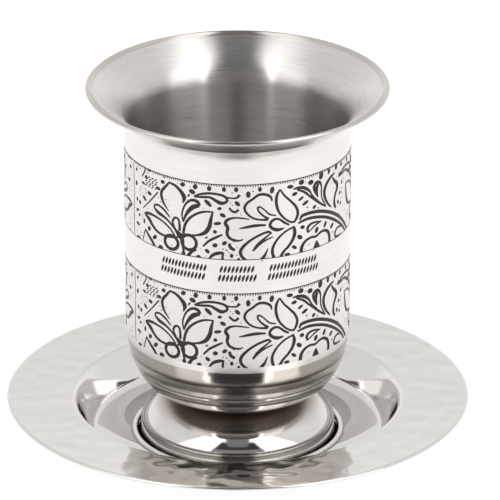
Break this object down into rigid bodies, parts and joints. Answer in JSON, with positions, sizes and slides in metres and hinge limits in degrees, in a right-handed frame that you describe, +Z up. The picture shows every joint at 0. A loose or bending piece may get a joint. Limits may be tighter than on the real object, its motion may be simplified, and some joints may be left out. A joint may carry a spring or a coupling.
{
  "type": "kiddush cup with saucer",
  "caption": "Footed ceremonial wine cup with a flared lip, floral etched bands and a matching saucer with a centring ring.",
  "frame": {"origin": "middle of the saucer's underside, on the table", "axes": "+Z up along the common turning axis of cup and saucer; the row of strokes between the ornament bands faces -Y"},
  "size_m": [0.1124, 0.1124, 0.0908],
  "materials": {
    "bowl_steel": "stainless steel, brushed round inside and satin outside, with blackened etched ornament",
    "foot_steel": "mirror polished stainless steel",
    "saucer_steel": "bright polished stainless steel, lightly hammered on the rim"
  },
  "bodies": {
    "root": {"bowl": "bowl_steel", "foot": "foot_steel", "saucer": "saucer_steel"}
  },
  "joints": []
}
